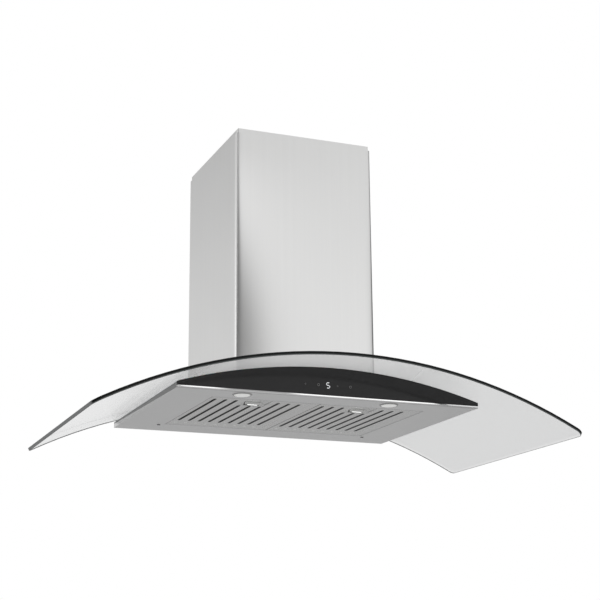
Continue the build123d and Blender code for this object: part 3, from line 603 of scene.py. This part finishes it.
# Square with soft corners: cos and sin of a full turn, each to a power with its sign kept
def softSquare(count, power):
    turn = fullTurn(count)[None, :]
    return [np.sign(part) * np.abs(part) ** power for part in (np.cos(turn), np.sin(turn))]


# Ones with a 0 at both ends: a thickness times these closes a piece at its ends
def closingEnds(count):
    full = np.ones(count)
    full[[0, -1]] = 0
    return full


# Middle of a filter's slot field, which is the middle of its latch
def filterMiddle(side):
    low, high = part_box(f"filter_{side}_latch")
    return (low.x + high.x) / 2


slots = {"count": 9, "pitch": 19.7 * mm, "width": 4 * mm, "rear": -120.5 * mm,
         "front": -333.5 * mm, "shortFront": -291 * mm, "short": (3, 4, 5), "arc": 15,
         "drainY": -99 * mm, "drainRadius": 1.6 * mm, "drainArc": 9, "drainLip": (1.1, 1.3)}
lips = {"reach": 1.1 * mm, "drop": 0.3 * mm, "level": 0.05 * mm, "rise": 1.4 * mm,
        "wall": 0.3 * mm, "bend": (0.4 * mm, 0.15 * mm), "arc": 9}


# Outline of a slot at a half turn per end: a circle whose rear half is moved to the slot's rear
# and whose front half to its front. Gives the points and, at each, the outward direction.
def slotOutline(x, front, rear, radius, arc):
    half = np.linspace(0, np.pi, arc)
    out = directions(np.concatenate([half, half + np.pi]))
    middle = np.concatenate([np.full(arc, rear - radius), np.full(arc, front + radius)])
    return np.stack([np.full(2 * arc, x), middle], axis=1) + radius * out, out


# Profile of a rolled lip as (distance outwards, height): half an ellipse under the sheet, then
# up the wall of the slot and back down inside it
def lipProfile(look):
    turn = np.linspace(0, np.pi, look["arc"])
    half = look["reach"] / 2
    roll = np.stack([half + half * np.cos(turn), look["level"] - look["drop"] * np.sin(turn)],
                    axis=1)
    return np.concatenate([roll, [(0, look["rise"]), (look["wall"], look["rise"]), look["bend"]]])


# Ring: a closed profile of (distance outwards, height) carried round an outline
def lipRing(outline, out, profile):
    spread = outline[:, None, :] + out[:, None, :] * profile[None, :, :1]
    height = np.broadcast_to(underside + profile[:, 1], spread.shape[:2])
    return np.concatenate([spread, height[:, :, None]], axis=2)


for side in ("left", "right"):
    profile = lipProfile(lips)
    rings = []
    drains = []
    for number in range(slots["count"]):
        x = filterMiddle(side) + (number - (slots["count"] - 1) / 2) * slots["pitch"]
        front = slots["shortFront"] if number in slots["short"] else slots["front"]
        slot = slotOutline(x, front, slots["rear"], slots["width"] / 2, slots["arc"])
        rings.append(lipRing(*slot, profile))
        drain = slotOutline(x, slots["drainY"] - slots["drainRadius"],
                            slots["drainY"] + slots["drainRadius"], slots["drainRadius"],
                            slots["drainArc"])
        drains.append(lipRing(*drain, profile * slots["drainLip"]))
    joinRings(f"filter_{side}_slot_lips", rings, lipSteel, f"filter_{side}", "filter_steel")
    joinRings(f"filter_{side}_drain_rims", drains, latchSteel, f"filter_{side}", "filter_steel")
print("filters have their rolled slot edges")

border = {"forward": 0.6 * mm, "overhang": 0.35 * mm, "radius": 0.75 * mm, "sink": 0.2 * mm,
          "corner": 2 * mm, "arc": 7, "sides": 12}
dish = {"half": 22.5 * mm, "front": -345.5 * mm, "rear": -306.8 * mm, "wall": -297 * mm,
        "deepest": 4.6 * mm, "flatness": 6, "climb": 1.4, "clear": 0.1 * mm,
        "pocket": 14.6 * mm, "sheet": 0.4 * mm, "steps": 25}
tabLip = {"half": 10.5 * mm, "steps": 25, "ends": 8, "thick": 1.2 * mm, "inset": 0.75 * mm,
          "foot": -0.8 * mm, "top": 3.4 * mm, "lean": 0.5 * mm, "square": 0.5, "sides": 24}


# Outline of a rectangle with round corners, and the outward direction at each point: the turn
# goes once round, and the middle of each quarter's arc stands in that corner
def borderOutline(low, high, radius, arc):
    quarters = [np.linspace(0, np.pi / 2, arc) + n * np.pi / 2 for n in range(4)]
    out = directions(np.concatenate(quarters))
    side = np.repeat(np.array([[1, 1], [-1, 1], [-1, -1], [1, -1]]), arc, axis=0)
    middle = (np.array(low) + high) / 2
    half = (np.array(high) - low) / 2 - radius
    return middle + side * half + radius * out, out


# Border of a filter: a round bead carried round the outline of its rim
def borderRing(side, look):
    low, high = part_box(f"filter_{side}_rim")
    outline = borderOutline((low.x, low.y - look["forward"]), (high.x, high.y), look["corner"],
                            look["arc"])
    middle = (look["overhang"] - look["radius"], look["radius"] - look["sink"])
    return lipRing(*outline, look["radius"] * directions(fullTurn(look["sides"])) + middle)


# Pressed finger dish: a sheet whose depth is the deepest value times 1 less u to the power
# flatness across, u being the way out from its middle, and times the sine of a quarter turn of
# v to the power climb along, v running from its front to the tab. Beside the tab two pockets
# bring the depth back to 0 at the rear wall as a cosine. At both sides a last row without
# thickness closes the sheet's edge.
def dishGrid(middleX, across, along, look):
    u = np.concatenate([across[:1], np.linspace(*across, look["steps"]), across[1:]])[:, None]
    sheet = look["sheet"] * closingEnds(len(u))[:, None, None]
    y = np.linspace(*along, look["steps"])[None, :]
    v = np.clip((y - look["front"]) / (look["rear"] - look["front"]), 0, 1)
    w = np.clip((y - look["rear"]) / (look["wall"] - look["rear"]), 0, 1)
    bowl = 1 - (u / look["half"]) ** look["flatness"]
    slope = np.sin(np.pi / 2 * v) ** look["climb"] * np.cos(np.pi / 2 * w)
    height = underside + look["clear"] + look["deepest"] * bowl * slope
    lower = np.stack([middleX + u + 0 * y, y + 0 * u, height], axis=2)
    upper = lower + sheet * np.array([0, 0, 1])
    return np.concatenate([lower, upper[:, ::-1]], axis=1)


# Folded lower edge of the finger tab: a slab whose front leans so that it faces a little
# downwards, with a round foot and top, carried along X and drawn in at its two ends as
# the root of one less the way out to the power ends
def tabGrid(middleX, rear, look):
    along = np.linspace(-1, 1, look["steps"])[:, None]
    swell = (1 - np.abs(along) ** look["ends"]) ** 0.5
    out, rise = softSquare(look["sides"], look["square"])
    half = (look["top"] - look["foot"]) / 2
    x = middleX + along * look["half"] + 0 * out
    y = rear + (out * look["thick"] / 2 - rise * look["lean"] / 2) * swell
    z = underside + look["foot"] + half + rise * half * swell
    return np.stack([x, y, z], axis=2)


for side in ("left", "right"):
    joinRings(f"filter_{side}_border", [borderRing(side, border)], borderSteel,
              f"filter_{side}", "filter_steel")
    middleX = filterMiddle(side)
    sheets = {"dish": ((-dish["half"], dish["half"]), (dish["front"], dish["rear"])),
              "pocket_left": ((-dish["half"], -dish["pocket"]), (dish["rear"], dish["wall"])),
              "pocket_right": ((dish["pocket"], dish["half"]), (dish["rear"], dish["wall"]))}
    for name, (across, along) in sheets.items():
        gridPiece(f"filter_{side}_{name}", dishGrid(middleX, across, along, dish), filterSteel,
                  f"filter_{side}", "filter_steel")
    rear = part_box(f"filter_{side}_latch")[1].y - tabLip["inset"]
    # The tab lip takes the glowing finish, a painted highlight
    gridPiece(f"filter_{side}_tab_lip", tabGrid(middleX, rear, tabLip), tabPaintedGlint,
              f"latch_{side}", "latch_steel")
print("filters have their borders, finger dishes and tab lips")

spring = {"radius": 1.1 * mm, "wire": 0.25 * mm, "turns": 11, "steps": 20, "sides": 10,
          "height": 9.4 * mm, "post": -335.75 * mm, "seat": -309.25 * mm, "travel": 5 * mm,
          "closed": 0.055, "bed": 1.05 * mm}


# Coil spring: a round wire carried round and along the Y axis. The closed shares of it at both
# ends climb the bed between them, and the rest climbs evenly. The wire is drawn in to a point at
# both ends.
def springGrid(middleX, look):
    part = np.linspace(0, 1, look["turns"] * look["steps"] + 1)
    turn = part * look["turns"] * 2 * np.pi
    free = 1 - 2 * look["closed"]
    climb = np.clip((part - look["closed"]) / free, 0, 1)
    flat = (part - climb * free) / (2 * look["closed"])
    y = look["post"] + climb * (look["seat"] - look["post"] - look["bed"]) + flat * look["bed"]
    radial = np.stack([np.cos(turn), 0 * turn, np.sin(turn)], axis=1)
    middle = np.stack([0 * turn + middleX, y, 0 * turn + underside + look["height"]], axis=1)
    path = middle + radial * look["radius"]
    ahead = np.gradient(path, axis=0)
    ahead = ahead / np.linalg.norm(ahead, axis=1, keepdims=True)
    across = np.cross(ahead, radial)
    around = fullTurn(look["sides"])[None, :, None]
    ring = radial[:, None] * np.cos(around) + across[:, None] * np.sin(around)
    return path[:, None] + ring * look["wire"] * closingEnds(len(part))[:, None, None]


for side in ("left", "right"):
    piece = gridPiece(f"filter_{side}_coil", springGrid(filterMiddle(side), spring), latchSteel,
                      f"filter_{side}", "latch_steel")
    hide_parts(f"filter_{side}_spring")
    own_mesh(piece)
print("latch springs are wound")

gaskets = {"width": 10 * mm, "gap": 0.25 * mm, "thick": 1.2 * mm, "steps": 60, "square": 0.3,
           "sides": 24}


# Gasket strip: a square with soft corners carried along the canopy's arc, just under the glass,
# and drawn in to its middle at the two ends to close them
def gasketGrid(middleY, look):
    outer = canopy["radius"] - canopy["thickness"] - look["gap"]
    reach = np.arcsin(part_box("glass_gaskets")[1].x / outer)
    along = np.linspace(-reach, reach, look["steps"])
    angle = np.concatenate([along[:1], along, along[-1:]])[:, None]
    swell = closingEnds(len(angle))[:, None]
    out, rise = softSquare(look["sides"], look["square"])
    radius = outer - look["thick"] / 2 + rise * look["thick"] / 2 * swell
    y = middleY + out * look["width"] / 2 * swell
    return np.stack([radius * np.sin(angle), y, canopy["axis"] + radius * np.cos(angle)], axis=2)


low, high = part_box("glass_gaskets")
strips = {"front": low.y + gaskets["width"] / 2, "rear": high.y - gaskets["width"] / 2}
for name, middleY in strips.items():
    piece = gridPiece(f"glass_gasket_{name}", gasketGrid(middleY, gaskets), siliconeSeal, "hood",
                      "clear_gasket")
    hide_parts("glass_gaskets")
print("gaskets lie under the glass")

# Marks are (way from the digit, radius, shade), the first two in millimetres
display = {"x": -10.9 * mm, "height": 21.6 * mm, "digitWidth": 7.2 * mm, "digitHeight": 11 * mm,
           "stroke": 1.6 * mm, "gap": 0.35 * mm, "proud": 0.05 * mm, "lit": "afgcd",
           "digitColour": (0.70, 0.72, 0.73), "digitGlow": 0.5,
           "marks": ((-42.6, 1.5, 0.10), (-18.1, 2.4, 0.17), (17.9, 1.5, 0.10), (42.5, 2.4, 0.17)),
           "markLine": 0.8 * mm, "markSteps": 32}
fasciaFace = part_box("fascia_glass")[0].y


# Print or light behind the fascia, with a fine grain
def glowing(name, colour, strength):
    look = {"grain": 0.4 * mm, "depth": 0.06, "roughness": 0.4}
    material, tone = newMaterial(name)
    shade = shaded(noise(place(tone), look["grain"]) * 2 - 1, colour, look["depth"])
    return finish(material, principled(tone, Base_Color=shade, Roughness=look["roughness"],
                                       Emission_Color=shade, Emission_Strength=strength))


# Bars of a seven-bar digit: each is a thin plate with pointed ends between two nodes of the
# digit, with its six corners first on the front and then on the back
def digitBars(look):
    w = (look["digitWidth"] - look["stroke"]) / 2
    h = (look["digitHeight"] - look["stroke"]) / 2
    ends = {"a": ((-w, h), (w, h)), "b": ((w, h), (w, 0)), "c": ((w, 0), (w, -h)),
            "d": ((-w, -h), (w, -h)), "e": ((-w, 0), (-w, -h)), "f": ((-w, h), (-w, 0)),
            "g": ((-w, 0), (w, 0))}
    corners = []
    for bar in look["lit"]:
        start, end = np.array(ends[bar])
        along = (end - start) / np.linalg.norm(end - start)
        across = np.array((-along[1], along[0])) * look["stroke"] / 2
        inset = along * look["stroke"] / 2
        start = start + along * look["gap"]
        end = end - along * look["gap"]
        corners.append([start, start + inset + across, end - inset + across, end,
                        end - inset - across, start + inset - across])
    flat = np.array(corners)[:, None] * np.ones((1, 2, 1, 1))
    y = fasciaFace + np.array([-1, 1])[None, :, None] * look["proud"] + 0 * flat[..., 0]
    points = np.stack([look["x"] + flat[..., 0], y, underside + look["height"] + flat[..., 1]],
                      axis=-1)
    cap = np.array([[0, 1, 2, 3], [0, 3, 4, 5]])
    n = np.arange(6)
    wall = np.stack([n, (n + 1) % 6, (n + 1) % 6 + 6, n + 6], axis=1)
    plate = np.concatenate([cap, cap + 6, wall])
    starts = 12 * np.arange(len(corners))[:, None, None]
    return points.reshape(-1, 3), (plate + starts).reshape(-1, 4)


# Touch mark: a plain ring, a thin rectangle carried round a circle
def markRing(x, radius, look):
    inner = radius - look["markLine"]
    radii = np.array([radius, inner, inner, radius])
    circle = directions(fullTurn(look["markSteps"]))[:, None, :] * radii[None, :, None]
    y = fasciaFace + np.array([-1, -1, 1, 1]) * look["proud"] + 0 * circle[:, :, 0]
    return np.stack([x + circle[:, :, 0], y, underside + look["height"] + circle[:, :, 1]],
                    axis=2)


meshPiece("display_digit", *digitBars(display),
          glowing("digit_light", display["digitColour"], display["digitGlow"]), "hood",
          "white_plastic", smooth=False)
for number, (offset, radius, shade) in enumerate(display["marks"], 1):
    gridPiece(f"touch_mark_{number}",
              markRing(display["x"] + offset * mm, radius * mm, display),
              glowing(f"mark_print_{number}", (shade,) * 3, 0.0), "hood", "white_plastic",
              ring=True, smooth=False)
print("display has its digit and", len(display["marks"]), "marks")

stage = {"floorHeight": underside - 1.6, "floorRadius": 14.0, "floorSides": 64,
         "floorColour": (0.86, 0.86, 0.86), "cloud": 0.6, "depth": 0.01, "roughness": 0.9}


# Round matte floor, which cannot be seen from below
def makeFloor(look):
    rim = directions(fullTurn(look["floorSides"])) * look["floorRadius"]
    height = np.full((len(rim), 1), look["floorHeight"])
    mesh = bpy.data.meshes.new("floor")
    mesh.from_pydata(np.hstack([rim, height]).tolist(), [], [list(range(len(rim)))])
    floor = bpy.data.objects.new("floor", mesh)
    bpy.context.scene.collection.objects.link(floor)
    material, tone = newMaterial("floor_paint")
    clouds = noise(place(tone), look["cloud"], 3.0) * 2 - 1
    colour = shaded(clouds, look["floorColour"], look["depth"])
    matte = principled(tone, Base_Color=colour, Roughness=look["roughness"])
    below = tone.node("NewGeometry", {}, {}, "Backfacing")
    clear = tone.node("BsdfTransparent", {}, {})
    finish(material, tone.node("MixShader", {}, {0: below, 1: matte, 2: clear}))
    mesh.materials.append(material)


makeFloor(stage)

# Azimuths are in degrees to the right of straight out from the wall
sky = {
    "key": (0.46, -0.88), "darkest": 0.71, "brightest": 1.14,
    "below": 0.56, "riseFrom": -0.12, "riseTo": -0.05, "fallFrom": 0.20, "fallTo": 0.46,
    "above": 0.57, "flagFrom": 0.26, "flagTo": 0.50,
    "flags": ({"azimuth": -48, "half": 26, "soft": 33, "depth": 0.72},
              {"azimuth": -78, "half": 18, "soft": 12, "depth": 0.70},
              {"azimuth": 95, "half": 30, "soft": 22, "depth": 0.80}),
    "strip": {"azimuth": -135, "half": 9, "soft": 10, "gain": 0.70},
}


# 1 within half the width of an azimuth, falling to 0 over the soft width, from the flat part
# (x, y) of a direction
def bearing(x, y, spot):
    angle = np.radians(spot["azimuth"])
    across = (x * x + y * y) ** 0.5
    facing = (x * float(np.sin(angle)) - y * float(np.cos(angle))) / across
    inner = float(np.cos(np.radians(spot["half"])))
    outer = float(np.cos(np.radians(spot["half"] + spot["soft"])))
    return step(facing, outer, inner)


# World: plain white behind the object, and for gloss and bounced light a soft studio round
# it, brighter to the front right and brightest a little above the horizon, with three dark flags
# and a bright strip low round it, which draw the folds of the sheet
def makeWorld(look):
    world = bpy.data.worlds.new("studio")
    bpy.context.scene.world = world
    world.use_nodes = True
    world.node_tree.nodes.clear()
    tone = Tone(world.node_tree)
    seen = tone.node("LightPath", {}, {}, "Is Camera Ray")
    through = tone.node("LightPath", {}, {}, "Is Transmission Ray")
    x, y, z = axes(tone.node("TexCoord", {}, {}, "Generated"))
    keyX, keyY = look["key"]
    around = step(x * keyX + y * keyY, -1.0, 1.0)
    level = around * (look["brightest"] - look["darkest"]) + look["darkest"]
    rise = step(z, look["riseFrom"], look["riseTo"])
    fall = step(z, look["fallFrom"], look["fallTo"])
    level = level * (look["below"] + rise * (1 - look["below"]) - fall * (1 - look["above"]))
    low = rise * (1 - step(z, look["flagFrom"], look["flagTo"]))
    for flag in look["flags"]:
        level = level * (1 - bearing(x, y, flag) * low * flag["depth"])
    level = level + bearing(x, y, look["strip"]) * low * look["strip"]["gain"]
    strength = tone.maths("MAXIMUM", level, tone.maths("MAXIMUM", seen, through))
    light = tone.node("Background", {}, {"Color": rgba(1.0), "Strength": strength})
    out = world.node_tree.nodes.new("ShaderNodeOutputWorld")
    world.node_tree.links.new(light.socket, out.inputs["Surface"])


makeWorld(sky)

lampAim = Vector((0, -0.2, -0.1))
lamps = {
    "key": {"place": (1.6, -1.9, 3.6), "size": 2.4, "power": 24.0},
    "fill": {"place": (-3.2, -1.6, 1.2), "size": 2.6, "power": 9.0},
}
for name, lamp in lamps.items():
    data = bpy.data.lights.new(name, "AREA")
    data.shape = "DISK"
    data.size = lamp["size"]
    data.energy = lamp["power"]
    light = bpy.data.objects.new(name, data)
    light.location = lamp["place"]
    light.rotation_euler = (lampAim - light.location).to_track_quat("-Z", "Y").to_euler()
    bpy.context.scene.collection.objects.link(light)

view = {"place": (-0.96219, -2.61399, -0.83085), "yaw": 0.3876, "pitch": 0.26714,
        "roll": -0.00863, "lens": 84.458, "sensor": 36}


# Camera: looks along +Y turned right by the yaw and up by the pitch, then rolled
def makeCamera(look):
    yaw, pitch, roll = look["yaw"], look["pitch"], look["roll"]
    ahead = Vector((np.sin(yaw) * np.cos(pitch), np.cos(yaw) * np.cos(pitch), np.sin(pitch)))
    right = Vector((np.cos(yaw), -np.sin(yaw), 0))
    up = right.cross(ahead)
    rolledRight = right * np.cos(roll) + up * np.sin(roll)
    rolledUp = up * np.cos(roll) - right * np.sin(roll)
    turned = Matrix((rolledRight, rolledUp, -ahead)).transposed().to_4x4()
    data = bpy.data.cameras.new("camera")
    data.lens = look["lens"]
    data.sensor_width = look["sensor"]
    camera = bpy.data.objects.new("camera", data)
    camera.matrix_world = Matrix.Translation(look["place"]) @ turned
    bpy.context.scene.collection.objects.link(camera)
    bpy.context.scene.camera = camera


makeCamera(view)
bpy.context.scene.view_settings.view_transform = "Standard"
print("stage, light and camera are in place")
